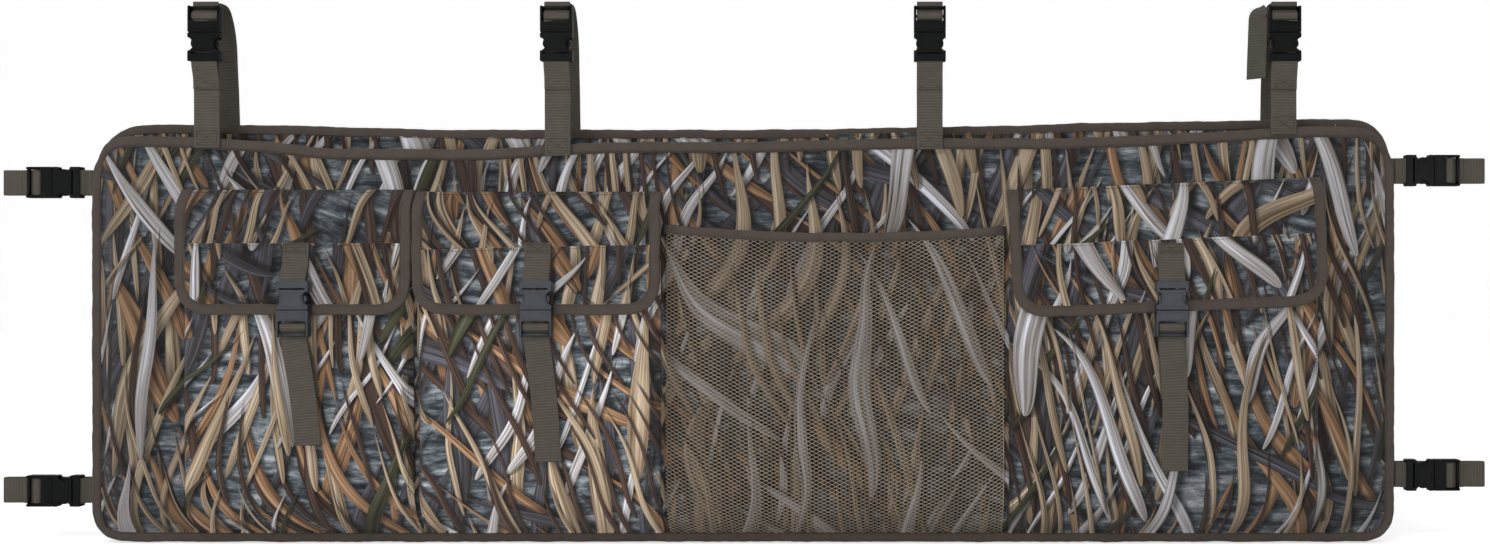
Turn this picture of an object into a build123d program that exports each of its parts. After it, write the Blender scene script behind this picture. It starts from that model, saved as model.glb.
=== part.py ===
from build123d import *
import math
import os

# A long, flat, padded gun case that hangs behind a seat back: two padded panels bound
# together down both ends and along the bottom, open along the top, with three flap pockets
# and a mesh pocket on the front, four hanging loops on the top rim and two on each end.
#
# Millimetres. +X is to the right as seen from the front, -Y faces the viewer, +Z is up.
# The origin is the middle of the flat rear face. "Depth" is measured forward from the rear
# face (depth = -Y) and "height" up from the bottom edge; CENTRE_HEIGHT is taken off at export.

# Case body
WIDTH = 1308.0
BACK_HEIGHT = 418.0
FRONT_HEIGHT = 402.0
CENTRE_HEIGHT = 209.0
LOW_CORNER = 34.0
HIGH_CORNER = 72.0
BINDING = 11.0
RIM_START = 330.0
BACK_DEPTH = 10.0
EDGE_DEPTH = 19.0
FACE_DEPTH = 48.0
SLOPE_SIDE = 65.0
SLOPE_LOW = 55.0
FABRIC = 1.0
WALL = 9.0

# Pockets: name, left, right, low edge of flap, seam of flap, tilt of flap, strap centre, tail lean
POCKET_DEPTH = 14.0
POCKET_WALL = 2.5
POCKET_TOP = 312.0
POCKETS = {
    "left": (-548.0, -318.5, 229.0, 351.0, 0.0, -429.0, 7.0),
    "middle": (-317.5, -76.0, 229.0, 349.0, 0.0, -194.0, 5.5),
    "right": (263.0, 571.0, 232.0, 357.0, 2.4, 421.0, 2.0),
}
TAIL_END = {"left": 103.0, "middle": 87.0, "right": 78.0}
FLAP_CORNER = 25.0
FLAP_INNER = 62.6
FLAP_OUTER = 67.0
FLAP_RISE = 18.0
FLAP_ROOT = 2.2
FLAP_TOP = 2.0
TAPE = 1.0
ANCHOR_MIDDLE = 160.0
ANCHOR_LENGTH = 80.0
MESH = (-74.5, 261.5, 318.0)
MESH_DEPTH = 12.0
MESH_WALL = 1.2
MESH_BINDING = 9.0

# Webbing, 25 mm wide, and the side-release buckle that goes with it. In the buckle's own frame
# Z runs from the socket's bar (0) to the plug's end bar and -Y faces the viewer.
WEBBING = 25.4
WEB = 1.4
BUCKLE_WIDTH = 31.4
BUCKLE_THICK = 10.0
BAR = 2.0
FOLD_BACK = 3.0
SOCKET_START = -3.0
SOCKET_END = 25.0
SOCKET_CORNER = 2.0
MOUTH = 3.0
SLOT_END = 5.4
SLOT_LENGTH = 10.4
CAVITY_START = 8.6
WAIST_START = 5.5
WAIST_HEIGHT = 13.6
SOCKET_WALL = 1.6
WAIST_HALF = 10.0
CAVITY_HALF = 14.2
PLUG_START = 25.3
WINDOW_START = 36.5
PLUG_END = 51.5
PLUG_CORNERS = (1.5, 3.0)
TONGUE_WIDTH = 5.6
TONGUE_THICK = 4.6
TONGUE_TIP = 11.0
WEB_PLAY = 1.2
LOCK_BAR = (0.2, 41.5, 1.6)
END_BAR = (-2.6, 49.3, 1.8)
PRONG_HALF = 13.7
PRONG_PIVOT = (9.6, 25.4)
PRONG_ROOT = 2.0
PRONG_GAP = 0.35
PRONG_THICK = 5.4

# Top straps: x of each, height of the socket's bar, depth of the buckle's middle plane
TOP_STRAPS = (-524.0, -179.0, 187.0, 535.0)
TOP_BAR = 480.5
TOP_DEPTH = 52.8
TOP_LOOP = 536.0
TOP_TAB_LOW = 390.0

# Side straps: side, height. They start at the binding's outer edge.
SIDE_STRAPS = {
    "upper_left": (-1, 361.0),
    "lower_left": (-1, 51.0),
    "upper_right": (1, 373.0),
    "lower_right": (1, 67.0),
}
SIDE_START = 14.5
SIDE_DEPTH = 15.0
SIDE_REACH = 79.0
SIDE_LEG = 11.0
POCKET_BAR = 259.5
FLAP_STRAP = 40.0
TAB_FOLD = 30.0
SIDE_FOLD = 12.5
STRAP_DEPTH = 73.4
TAB_BEND = (-17.0, -9.0)
TAB_LAP = 1.6
FIT = 0.3


def save(node, solid):
    """Moves a solid to the row frame, whose origin is half way up the rear face."""
    export_step(Pos(0, 0, -CENTRE_HEIGHT) * solid, f"parts/{node}.step")


def rounded(left, right, low, high, low_radius, high_radius):
    """A front silhouette with its own radii for the lower and the upper corners."""
    face = make_face(Polyline((left, low), (right, low), (right, high), (left, high), close=True))
    corners = face.vertices().sort_by(Axis.Y)
    if low_radius:
        face = fillet(corners[:2], low_radius)
    if high_radius:
        corners = face.vertices().sort_by(Axis.Y)
        face = fillet(corners[-2:], high_radius)
    return face


def slab(face, near, far):
    """A front silhouette, extruded forward between two depths."""
    return extrude(Plane.XZ.offset(near) * face, amount=far - near)


def side_prism(points, left, right):
    """A side profile of (depth, height) points, from one x to another."""
    face = make_face(Polyline(*[(-depth, height) for depth, height in points], close=True))
    return extrude(Plane.YZ.offset(left) * face, amount=right - left)


def plan_prism(points, low, high):
    """A plan profile of (x, depth) points, from one height to another."""
    face = make_face(Polyline(*[(x, -depth) for x, depth in points], close=True))
    return extrude(Plane.XY.offset(low) * face, amount=high - low)


def silhouette(height, inset):
    """The case's front outline up to a height, or the outline inside its binding."""
    half = WIDTH / 2 - inset
    return rounded(-half, half, inset, height - inset, LOW_CORNER - inset, HIGH_CORNER - inset)


def bulge(level):
    """All that lies behind the front panel's surface, or behind a layer that deep below it."""
    half = WIDTH / 2 + 1
    straight = WIDTH / 2 - BINDING
    edge = EDGE_DEPTH - level
    face = FACE_DEPTH - level
    plan = [
        (-half, BACK_DEPTH),
        (-half, edge),
        (-straight, edge),
        (SLOPE_SIDE - straight, face),
        (straight - SLOPE_SIDE, face),
        (straight, edge),
        (half, edge),
        (half, BACK_DEPTH),
    ]
    side = [
        (BACK_DEPTH, -1),
        (edge, -1),
        (edge, BINDING),
        (face, BINDING + SLOPE_LOW),
        (face, FRONT_HEIGHT + 1),
        (BACK_DEPTH, FRONT_HEIGHT + 1),
    ]
    return plan_prism(plan, -1, FRONT_HEIGHT + 1) & side_prism(side, -half, half)


def front_layer(outer, inner):
    """One layer of the front panel, between two levels below its surface."""
    inside = slab(silhouette(FRONT_HEIGHT, BINDING), BACK_DEPTH, FACE_DEPTH + 5)
    core = bulge(outer)
    if inner < WALL:
        core = core - bulge(inner)
    else:
        core = core - cavity(inner)
    return inside & core


def cavity(level):
    """The compartment behind a level, with nothing left in front of the back panel."""
    half = WIDTH / 2 - BINDING
    face = FACE_DEPTH - level
    plan = [(-half, BACK_DEPTH), (SLOPE_SIDE - half, face), (half - SLOPE_SIDE, face), (half, BACK_DEPTH)]
    low = BINDING
    side = [
        (BACK_DEPTH, low),
        (face, low + SLOPE_LOW),
        (face, FRONT_HEIGHT + 2),
        (BACK_DEPTH, FRONT_HEIGHT + 2),
    ]
    return plan_prism(plan, -1, FRONT_HEIGHT + 2) & side_prism(side, -half, half)


def make_panels():
    """Each panel is a cover, a sheet of foam and a lining, stacked face to face."""
    back = silhouette(BACK_HEIGHT, BINDING)
    save("back_cover", slab(back, 0, FABRIC))
    save("back_foam", slab(back, FABRIC, BACK_DEPTH - FABRIC))
    save("back_lining", slab(back, BACK_DEPTH - FABRIC, BACK_DEPTH))
    save("front_cover", front_layer(0, FABRIC))
    save("front_foam", front_layer(FABRIC, WALL - FABRIC))
    save("front_lining", front_layer(WALL - FABRIC, WALL))


def band(height):
    """The strip of the front outline that the binding covers."""
    return silhouette(height, 0) - silhouette(height, BINDING)


def make_bindings():
    """One tape closes the ends and the bottom; each panel's top rim has its own."""
    above = Pos(0, 0, RIM_START + 100) * Box(WIDTH + 4, 200, 200)
    below = Pos(0, 0, RIM_START - 200) * Box(WIDTH + 4, 200, 400)
    joined = slab(band(BACK_HEIGHT), FABRIC, EDGE_DEPTH + 0.5) & below
    save("body_binding", joined)
    save("back_rim_binding", slab(band(BACK_HEIGHT), FABRIC, BACK_DEPTH - FIT) & above)
    shell = bulge(-0.8) - cavity(WALL)
    front = slab(band(FRONT_HEIGHT), BACK_DEPTH, FACE_DEPTH + 5) & above
    save("front_rim_binding", front & shell)


def pouch(left, right, top, deep, wall):
    """An open-topped pocket that tapers to nothing at the bottom binding."""
    start = BINDING + SLOPE_LOW
    outer = [
        (EDGE_DEPTH, BINDING),
        (FACE_DEPTH + deep, start),
        (FACE_DEPTH + deep, top),
        (FACE_DEPTH, top),
        (FACE_DEPTH, start),
    ]
    inner = [
        (FACE_DEPTH, start),
        (FACE_DEPTH + deep - wall, start),
        (FACE_DEPTH + deep - wall, top + 1),
        (FACE_DEPTH, top + 1),
    ]
    return side_prism(outer, left, right) - side_prism(inner, left + wall, right - wall)


def make_mesh_pocket():
    """A pouch of net whose top edge is bound with a folded tape."""
    left, right, top = MESH
    low = top - MESH_BINDING
    save("mesh_pocket", pouch(left, right, low, MESH_DEPTH, MESH_WALL))
    front = FACE_DEPTH + MESH_DEPTH
    tape = Box(right - left, MESH_WALL + 1.6, MESH_BINDING)
    middle = -(front - MESH_WALL / 2)
    save("mesh_pocket_binding", Pos((left + right) / 2, middle, top - MESH_BINDING / 2) * tape)


def flap_parts(left, right, low, seam, tilt):
    """The flap's own panel and the tape round its free edges."""
    profile = [
        (FACE_DEPTH + FIT, seam + FLAP_TOP / 2),
        (FACE_DEPTH + FLAP_ROOT, seam + FLAP_TOP),
        (FLAP_OUTER, seam - FLAP_RISE),
        (FLAP_OUTER, low),
        (FLAP_INNER, low),
        (FLAP_INNER, seam - FLAP_RISE - 2.0),
        (FACE_DEPTH + FIT, seam - 2.0 * FLAP_ROOT),
    ]
    body = side_prism(profile, left, right)
    thick = [(depth + (TAPE if depth > FLAP_INNER else 0.0), height) for depth, height in profile]
    shape = rounded(left, right, low, seam + 3, FLAP_CORNER, 0)
    inner = rounded(left + BINDING, right - BINDING, low + BINDING, seam + 4, FLAP_CORNER - BINDING, 0)
    inside = slab(inner, FACE_DEPTH - 5, FLAP_OUTER + 5)
    panel = body & inside
    edge = (side_prism(thick, left, right) & slab(shape, FACE_DEPTH - 5, FLAP_OUTER + 5)) - inside
    centre = ((left + right) / 2, 0, seam)
    turn = Pos(*centre) * Rot(0, -tilt, 0) * Pos(*[-value for value in centre])
    return turn * panel, turn * edge


def parallel(points, radii, shift):
    """A (y, z) path moved sideways by a distance, with its bends still round the same centres."""
    spots = [Vector(*point) for point in points]
    ways = [(after - before).normalized() for before, after in zip(spots, spots[1:])]
    sides = [Vector(-way.Y, way.X) for way in ways]
    moved = [spots[0] + sides[0] * shift]
    bends = []
    for spot, radius, before, after in zip(spots[1:], radii, sides, sides[1:]):
        moved.append(spot + (before + after) * (shift / (1 + before.dot(after))))
        turn = math.copysign(1, before.cross(after).Z) * shift
        bends.append(radius - turn)
    moved.append(spots[-1] + sides[-1] * shift)
    return FilletPolyline(*moved, radius=bends)


def ribbon(points, radii):
    """Webbing bent along a path of (y, z) points, with its bends rounded."""
    one = parallel(points, radii, WEB / 2)
    other = parallel(points, radii, -WEB / 2)
    ends = Line(one @ 0, other @ 0) + Line(one @ 1, other @ 1)
    face = make_face(one + other + ends)
    return extrude(Plane.YZ.offset(-WEBBING / 2) * face, amount=WEBBING)


def tab(start, base, fold):
    """Webbing sewn down at its start, folded round the socket's bar and sewn to itself."""
    lower = [(base, start)]
    if base > FOLD_BACK:
        lower += [(base, TAB_BEND[0]), (FOLD_BACK, TAB_BEND[1])]
    inner = base - TAB_LAP
    upper = [
        (FOLD_BACK, 3.3),
        (-FOLD_BACK, 3.3),
        (-FOLD_BACK, -0.2 * fold),
        (inner, -0.65 * fold),
        (inner, -fold),
    ]
    radii = [4.0] * (len(lower) - 1) + [2.9, 2.9, 0.2 * fold, 0.2 * fold]
    return ribbon(lower + upper, radii)


def socket():
    """The female half: a bar for the webbing and a flat sleeve that is open at its waist."""
    half = BUCKLE_WIDTH / 2
    flare = SOCKET_END - MOUTH
    right = Line((half, SOCKET_START), (half, WAIST_START))
    right += ThreePointArc((half, WAIST_START), (WAIST_HALF, WAIST_HEIGHT), (half, flare))
    right += Line((half, flare), (half, SOCKET_END))
    low = Line((-half, SOCKET_START), (half, SOCKET_START))
    high = Line((-half, SOCKET_END), (half, SOCKET_END))
    face = make_face(right + mirror(right, Plane.YZ) + low + high)
    corners = face.vertices().sort_by(Axis.Y)
    face = fillet(corners[:2], SOCKET_CORNER)
    body = slab(face, -BUCKLE_THICK / 2, BUCKLE_THICK / 2)
    room = BUCKLE_THICK - 2 * SOCKET_WALL
    deep = SOCKET_END - CAVITY_START
    body -= Pos(0, 0, CAVITY_START + deep / 2 + 1) * Box(2 * CAVITY_HALF, room, deep + 2)
    slot = Box(WEBBING + WEB_PLAY, BUCKLE_THICK + 2, SLOT_LENGTH)
    body -= Pos(0, 0, SLOT_END - SLOT_LENGTH / 2) * slot
    bar = Rot(0, 90, 0) * Cylinder(BAR, WEBBING + 1.4)
    return body + bar


def prong(side):
    """One springy arm of the plug, from its root at the shoulders to its catch."""
    root_x, root_z = PRONG_PIVOT
    outline = [
        (root_x - PRONG_ROOT, root_z),
        (root_x - 1.2, 17.0),
        (root_x - 1.0, 10.6),
        (root_x + 0.8, 9.4),
        (PRONG_HALF - 0.5, 12.0),
        (PRONG_HALF, 15.0),
        (PRONG_HALF - 0.9, 18.5),
        (root_x + PRONG_ROOT, root_z),
    ]
    face = make_face(Polyline(*[(side * x, z) for x, z in outline], close=True))
    face += Pos(side * root_x, root_z) * Circle(PRONG_ROOT)
    return slab(face, -PRONG_THICK / 2, PRONG_THICK / 2)


def plug(moving_prongs):
    """The male half: tongue and prongs, shoulders, and a window with two bars for webbing."""
    half = BUCKLE_WIDTH / 2
    face = rounded(-half, half, PLUG_START, PLUG_END, *PLUG_CORNERS)
    body = slab(face, -BUCKLE_THICK / 2, BUCKLE_THICK / 2)
    beyond = PLUG_END + 4
    window = Box(WEBBING + WEB_PLAY, BUCKLE_THICK + 2, beyond - WINDOW_START)
    body -= Pos(0, 0, (WINDOW_START + beyond) / 2) * window
    for depth, height, radius in (LOCK_BAR, END_BAR):
        body += Pos(0, depth, height) * Rot(0, 90, 0) * Cylinder(radius, WEBBING + 1.4)
    tongue = Box(TONGUE_WIDTH, TONGUE_THICK, PLUG_START - TONGUE_TIP + 1)
    body += Pos(0, 0, (PLUG_START + TONGUE_TIP) / 2) * tongue
    for side in (-1, 1):
        if moving_prongs:
            seat = Pos(side * PRONG_PIVOT[0], 0, PRONG_PIVOT[1]) * Rot(90, 0, 0)
            body -= seat * Cylinder(PRONG_ROOT + PRONG_GAP, BUCKLE_THICK + 2)
        else:
            body += prong(side)
    return body


def thread():
    """Where webbing comes in behind the plug's end bar, round its lock bar and out again."""
    return [(1.0, 56.0), (1.0, 47.0), (-2.7, 44.0), (-2.7, 38.2), (3.2, 38.2)]


def top_loop():
    """From the plug over the top of the loop and down to the back panel's rim."""
    top = TOP_LOOP - TOP_BAR - WEB / 2
    rim = BACK_HEIGHT - TOP_BAR + FIT
    back = TOP_DEPTH - BACK_DEPTH / 2
    points = thread() + [(3.2, 50.0), (4.4, top), (TOP_DEPTH - 33.0, top), (back, rim + 6.0), (back, rim)]
    return ribbon(points, [3.0, 1.2, 2.8, 2.8, 20.0, 3.0, 5.0, 30.0])


def side_loop():
    """From the plug out to the strap's far end and back behind the buckle to the case."""
    start = FIT - SIDE_START
    points = thread() + [(3.2, SIDE_REACH), (SIDE_LEG, SIDE_REACH), (SIDE_LEG, start)]
    return ribbon(points, [3.0, 1.2, 2.8, 2.8, 3.6, 3.6])


def tail(length, lean):
    """The strap's free end below a pocket's buckle, hanging a few degrees out of true."""
    loop = ribbon(thread() + [(3.2, 49.0)], [3.0, 1.2, 2.8, 2.8])
    free = Pos(0, 1.0, 56.0) * Rot(0, -lean, 0) * Pos(0, 0, length / 2) * Box(WEBBING, WEB, length)
    return loop + free


def upright(x, depth, height):
    """Places a buckle frame that points up, for the top straps."""
    return Pos(x, -depth, height)


def hanging(x, depth, height):
    """Places a buckle frame that points down, for the pocket straps."""
    return Pos(x, -depth, height) * Rot(0, 180, 0)


def sideways(side, depth, height):
    """Places a buckle frame that points away from the case's end."""
    return Pos(side * (WIDTH / 2 + SIDE_START), -depth, height) * Rot(0, side * 90, 0)


def make_pockets():
    """The three flap pockets, each with its flap, strap and buckle."""
    anchors = []
    for name, (left, right, low, seam, tilt, x, lean) in POCKETS.items():
        save(f"pocket_{name}", pouch(left + 2, right - 2, POCKET_TOP, POCKET_DEPTH, POCKET_WALL))
        panel, edge = flap_parts(left, right, low, seam, tilt)
        save(f"flap_{name}", panel)
        save(f"flap_binding_{name}", edge)
        place = hanging(x, STRAP_DEPTH, POCKET_BAR)
        save(f"flap_strap_{name}", place * tab(-FLAP_STRAP, STRAP_DEPTH - FLAP_OUTER - WEB / 2, TAB_FOLD))
        save(f"pocket_socket_{name}", place * socket())
        save(f"pocket_plug_{name}", place * plug(True))
        for number, side in enumerate((1, -1), start=1):
            save(f"pocket_prong_{number}_{name}", place * prong(side))
        length = POCKET_BAR - 56.0 - TAIL_END[name]
        save(f"pocket_tail_{name}", place * tail(length, lean))
        front = FACE_DEPTH + POCKET_DEPTH + WEB / 2
        anchors.append(Pos(x, -front, ANCHOR_MIDDLE) * Box(WEBBING, WEB, ANCHOR_LENGTH))
    save("pocket_strap_anchors", Compound(children=anchors))


def make_top_straps():
    """Four straps that stand up from the front rim and loop over to the back rim."""
    places = [upright(x, TOP_DEPTH, TOP_BAR) for x in TOP_STRAPS]
    tabs = [place * tab(TOP_TAB_LOW - TOP_BAR, FOLD_BACK, TAB_FOLD) for place in places]
    save("top_tabs", Compound(children=tabs))
    save("top_sockets", Compound(children=[place * socket() for place in places]))
    for number, place in enumerate(places, start=1):
        save(f"top_plug_{number}", place * plug(False))
        save(f"top_loop_{number}", place * top_loop())


def make_side_straps():
    """Two straps on each end of the case, each a loop that closes in front of itself."""
    places = {name: sideways(side, SIDE_DEPTH, height) for name, (side, height) in SIDE_STRAPS.items()}
    tabs = [place * tab(-SIDE_START, FOLD_BACK, SIDE_FOLD) for place in places.values()]
    save("side_tabs", Compound(children=tabs))
    save("side_sockets", Compound(children=[place * socket() for place in places.values()]))
    for name, place in places.items():
        save(f"side_plug_{name}", place * plug(False))
        save(f"side_loop_{name}", place * side_loop())


os.makedirs("parts", exist_ok=True)
make_panels()
make_bindings()
make_mesh_pocket()
make_pockets()
make_top_straps()
make_side_straps()
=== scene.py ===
import math
import random

import bmesh
import bpy
import numpy as np
from mathutils import Matrix, Vector


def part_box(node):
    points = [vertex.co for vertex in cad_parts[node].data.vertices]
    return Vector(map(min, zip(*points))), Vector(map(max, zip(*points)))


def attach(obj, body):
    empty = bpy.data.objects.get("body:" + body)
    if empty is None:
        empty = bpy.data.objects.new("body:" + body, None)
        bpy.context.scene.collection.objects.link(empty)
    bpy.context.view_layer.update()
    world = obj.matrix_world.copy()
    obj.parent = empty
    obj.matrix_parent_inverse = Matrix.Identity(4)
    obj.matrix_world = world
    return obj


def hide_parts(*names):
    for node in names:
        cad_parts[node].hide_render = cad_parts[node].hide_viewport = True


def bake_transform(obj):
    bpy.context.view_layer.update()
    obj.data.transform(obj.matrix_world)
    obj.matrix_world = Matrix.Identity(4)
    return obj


# A padded camouflage gun case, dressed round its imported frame. Lengths are millimetres until
# the last step. "Height" counts up from the case's bottom edge and "depth" forward from its
# flat rear face, towards the viewer.

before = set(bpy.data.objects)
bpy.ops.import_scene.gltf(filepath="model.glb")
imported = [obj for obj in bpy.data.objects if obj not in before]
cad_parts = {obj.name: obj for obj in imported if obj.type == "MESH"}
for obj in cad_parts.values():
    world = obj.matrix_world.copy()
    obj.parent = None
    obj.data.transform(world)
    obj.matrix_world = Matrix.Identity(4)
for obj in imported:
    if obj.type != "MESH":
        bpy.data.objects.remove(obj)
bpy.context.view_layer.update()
MM = 0.001


def box_mm(node):
    """A CAD node's limits as (x low, x high), (depth low, depth high), (height low, high)."""
    low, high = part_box(node)
    across = (low.x / MM, high.x / MM)
    depth = (-high.y / MM, -low.y / MM)
    height = (low.z / MM - FLOOR, high.z / MM - FLOOR)
    return across, depth, height


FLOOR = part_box("body_binding")[0].z / MM
(_, HALF), (_, EDGE_DEPTH), (_, RIM_START) = box_mm("body_binding")
FACE_DEPTH = box_mm("front_cover")[1][1]
BACK_DEPTH = box_mm("back_lining")[1][1]
FLAP_DEPTH = box_mm("flap_left")[1][1]
POCKET_DEPTH = box_mm("pocket_left")[1][1]
BINDING = 11.0
WEBBING = 25.4
WEB = 1.4
RIB = 2.8
POCKETS = ("left", "middle", "right")


def smooth(value, low, high):
    """0 below low, 1 above high, and an S between them."""
    t = np.clip((np.asarray(value, float) - low) / (high - low), 0, 1)
    return t * t * (3 - 2 * t)


def ripple(x, y, scale, seed):
    """Smooth random waves between about -1 and 1, from a few sines at odd angles."""
    draw = random.Random(seed)
    total = 0.0
    for _ in range(5):
        angle = draw.uniform(0, math.pi)
        length = scale * draw.uniform(0.7, 1.6)
        phase = draw.uniform(0, 2 * math.pi)
        way = np.asarray(x) * math.cos(angle) + np.asarray(y) * math.sin(angle)
        total = total + np.sin(2 * math.pi * way / length + phase)
    return total / 3


# ---------------------------------------------------------------- meshes


def place(points):
    """(x, depth, height) in millimetres to the row frame in metres."""
    points = np.asarray(points, float)
    return np.stack([points[..., 0], -points[..., 1], points[..., 2] + FLOOR], axis=-1) * MM


def new_object(name, data):
    piece = bpy.data.objects.new(name, data)
    bpy.context.scene.collection.objects.link(piece)
    return piece


def mesh_object(name, points, faces, material, lie=None):
    """A mesh from (x, depth, height) points in millimetres. "lie" is each point's place on a tape."""
    mesh = bpy.data.meshes.new(name)
    mesh.from_pydata([tuple(point) for point in place(points)], [], faces)
    if lie is not None:
        mesh.attributes.new("lie", "FLOAT_VECTOR", "POINT").data.foreach_set("vector", np.ravel(lie))
    work = bmesh.new()
    work.from_mesh(mesh)
    bmesh.ops.recalc_face_normals(work, faces=work.faces)
    work.to_mesh(mesh)
    work.free()
    mesh.materials.append(material)
    mesh.shade_smooth()
    return new_object(name, mesh)


def put(piece, body, slot, *nodes):
    """Ties a piece to a body, if one is given, and hides the nodes that it stands for. The slot is not
    used.
    """
    if body:
        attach(piece, body)
    if nodes:
        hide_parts(*nodes)
    return piece


def grid_faces(rows, columns, start=0, flip=False, wrap=False):
    """Quads over a grid of points, whose columns may close into a ring."""
    faces = []
    for row in range(rows - 1):
        for column in range(columns if wrap else columns - 1):
            a = start + row * columns + column
            b = start + row * columns + (column + 1) % columns
            quad = (a, b, b + columns, a + columns)
            faces.append(quad[::-1] if flip else quad)
    return faces


def closed_sheet(front, back):
    """Two matching grids of points, joined round their edges into one closed skin."""
    rows, columns = front.shape[:2]
    count = rows * columns
    points = np.concatenate([front.reshape(-1, 3), back.reshape(-1, 3)])
    faces = grid_faces(rows, columns) + grid_faces(rows, columns, count, flip=True)
    ids = np.arange(count).reshape(rows, columns)
    rim = np.concatenate([ids[0], ids[1:, -1], ids[-1, -2::-1], ids[-2:0:-1, 0]]).tolist()
    for a, b in zip(rim, rim[1:] + rim[:1]):
        faces.append((b, a, a + count, b + count))
    return points, faces


def unit(vectors):
    return vectors / np.linalg.norm(vectors, axis=-1, keepdims=True)


def sweep(path, sides, profile):
    """Carries a closed profile of (side, up) points along a path whose side ways are given."""
    path = np.asarray(path, float)
    ahead = unit(np.gradient(path, axis=0))
    sides = np.broadcast_to(np.asarray(sides, float), path.shape)
    sides = unit(sides - (sides * ahead).sum(axis=1, keepdims=True) * ahead)
    ups = np.cross(ahead, sides)
    profile = np.asarray(profile, float)
    profile = np.broadcast_to(profile, (len(path), *profile.shape[-2:]))
    points = path[:, None] + profile[..., :1] * sides[:, None] + profile[..., 1:] * ups[:, None]
    rows, columns = points.shape[:2]
    faces = grid_faces(rows, columns, wrap=True)
    faces.append(tuple(range(columns))[::-1])
    faces.append(tuple(range((rows - 1) * columns, rows * columns)))
    return points.reshape(-1, 3), faces


def arc_lengths(path):
    """How far along a line of points each of them is."""
    return np.concatenate([[0], np.cumsum(np.linalg.norm(np.diff(path, axis=0), axis=1))])


def resample(path, step):
    """Points evenly spaced along a line of points."""
    path = np.asarray(path, float)
    runs = arc_lengths(path)
    wanted = np.linspace(0, runs[-1], max(2, int(round(runs[-1] / step)) + 1))
    return np.stack([np.interp(wanted, runs, path[:, axis]) for axis in range(path.shape[1])], 1)


def tape_places(runs, across):
    """The "lie" of swept tape: how far across it and along it each of its points is."""
    lie = np.zeros((len(runs), len(across), 3))
    lie[..., 0] = across
    lie[..., 1] = runs[:, None]
    return lie.reshape(-1, 3)


def rounded_path(points, radii, step=3.0):
    """A line of points with its corners rounded off, by one radius or by one for each corner."""
    points = [np.asarray(point, float) for point in points]
    radii = np.broadcast_to(radii, len(points) - 2)
    line = [points[0]]
    for before, corner, after, radius in zip(points, points[1:], points[2:], radii):
        reach_in = min(radius, np.linalg.norm(corner - before) * 0.49)
        reach_out = min(radius, np.linalg.norm(after - corner) * 0.49)
        start = corner + (before - corner) / np.linalg.norm(before - corner) * reach_in
        end = corner + (after - corner) / np.linalg.norm(after - corner) * reach_out
        for t in np.linspace(0, 1, 9):
            line.append((1 - t) ** 2 * start + 2 * t * (1 - t) * corner + t * t * end)
    line.append(points[-1])
    return resample(line, step)


# ---------------------------------------------------------------- materials


class Tree:
    """A node tree with short calls for adding wired nodes."""

    def __init__(self, tree):
        self.tree = tree

    def add(self, kind, settings=(), **inputs):
        """A node with its settings, and its inputs by name, where _ stands for a space."""
        node = self.tree.nodes.new(kind)
        for key, value in dict(settings).items():
            setattr(node, key, value)
        for key, value in inputs.items():
            self.wire(node.inputs[key.replace("_", " ")], value)
        return node

    def wire(self, socket, value):
        if isinstance(value, bpy.types.NodeSocket):
            self.tree.links.new(value, socket)
        else:
            socket.default_value = value

    def result(self, kind, settings, values):
        """The first output of a node whose inputs are filled in order."""
        node = self.add(kind, settings)
        for socket, value in zip(node.inputs, values):
            self.wire(socket, value)
        return node.outputs[0]

    def math(self, operation, *values, clamp=False):
        return self.result("ShaderNodeMath", {"operation": operation, "use_clamp": clamp}, values)

    def vector(self, operation, *values):
        return self.result("ShaderNodeVectorMath", {"operation": operation}, values)

    def plus(self, one, other):
        return self.math("ADD", one, other)

    def minus(self, one, other):
        return self.math("SUBTRACT", one, other)

    def times(self, one, other):
        return self.math("MULTIPLY", one, other)

    def over(self, one, other):
        return self.math("DIVIDE", one, other)

    def scaled(self, value, factor, offset, clamp=False):
        return self.math("MULTIPLY_ADD", value, factor, offset, clamp=clamp)

    def wave(self, value, length):
        return self.math("SINE", self.times(value, 2 * math.pi / length))

    def join(self, x, y, z=0.0):
        return self.add("ShaderNodeCombineXYZ", X=x, Y=y, Z=z).outputs[0]

    def split(self, vector):
        return self.add("ShaderNodeSeparateXYZ", Vector=vector).outputs

    def dice(self, kind, x, y, z=0.0):
        """Random numbers that are the same for the same three numbers."""
        key = self.join(x, y, z)
        return self.add("ShaderNodeTexWhiteNoise", {"noise_dimensions": kind}, Vector=key).outputs

    def mix(self, share, first, second, blend="MIX"):
        node = self.add("ShaderNodeMix", {"data_type": "RGBA", "blend_type": blend})
        for index, value in ((0, share), (6, first), (7, second)):
            self.wire(node.inputs[index], value)
        return node.outputs[2]

    def ramp(self, share, stops, mode="LINEAR"):
        node = self.add("ShaderNodeValToRGB")
        node.color_ramp.interpolation = mode
        elements = node.color_ramp.elements
        while len(elements) < len(stops):
            elements.new(0.5)
        for element, (position, colour) in zip(elements, stops):
            element.position = position
            element.color = colour
        self.wire(node.inputs[0], share)
        return node.outputs[0]

    def noise(self, where, scale, detail=2.0, rough=0.5, output="Fac"):
        node = self.add("ShaderNodeTexNoise", Scale=scale, Detail=detail, Roughness=rough, Vector=where)
        return node.outputs[output]


def rgb(red, green, blue):
    """An 0 to 255 display colour as the linear colour that a shader takes."""
    linear = []
    for value in (red, green, blue):
        share = value / 255
        linear.append(share / 12.92 if share <= 0.04045 else ((share + 0.055) / 1.055) ** 2.4)
    return (*linear, 1.0)


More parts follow.
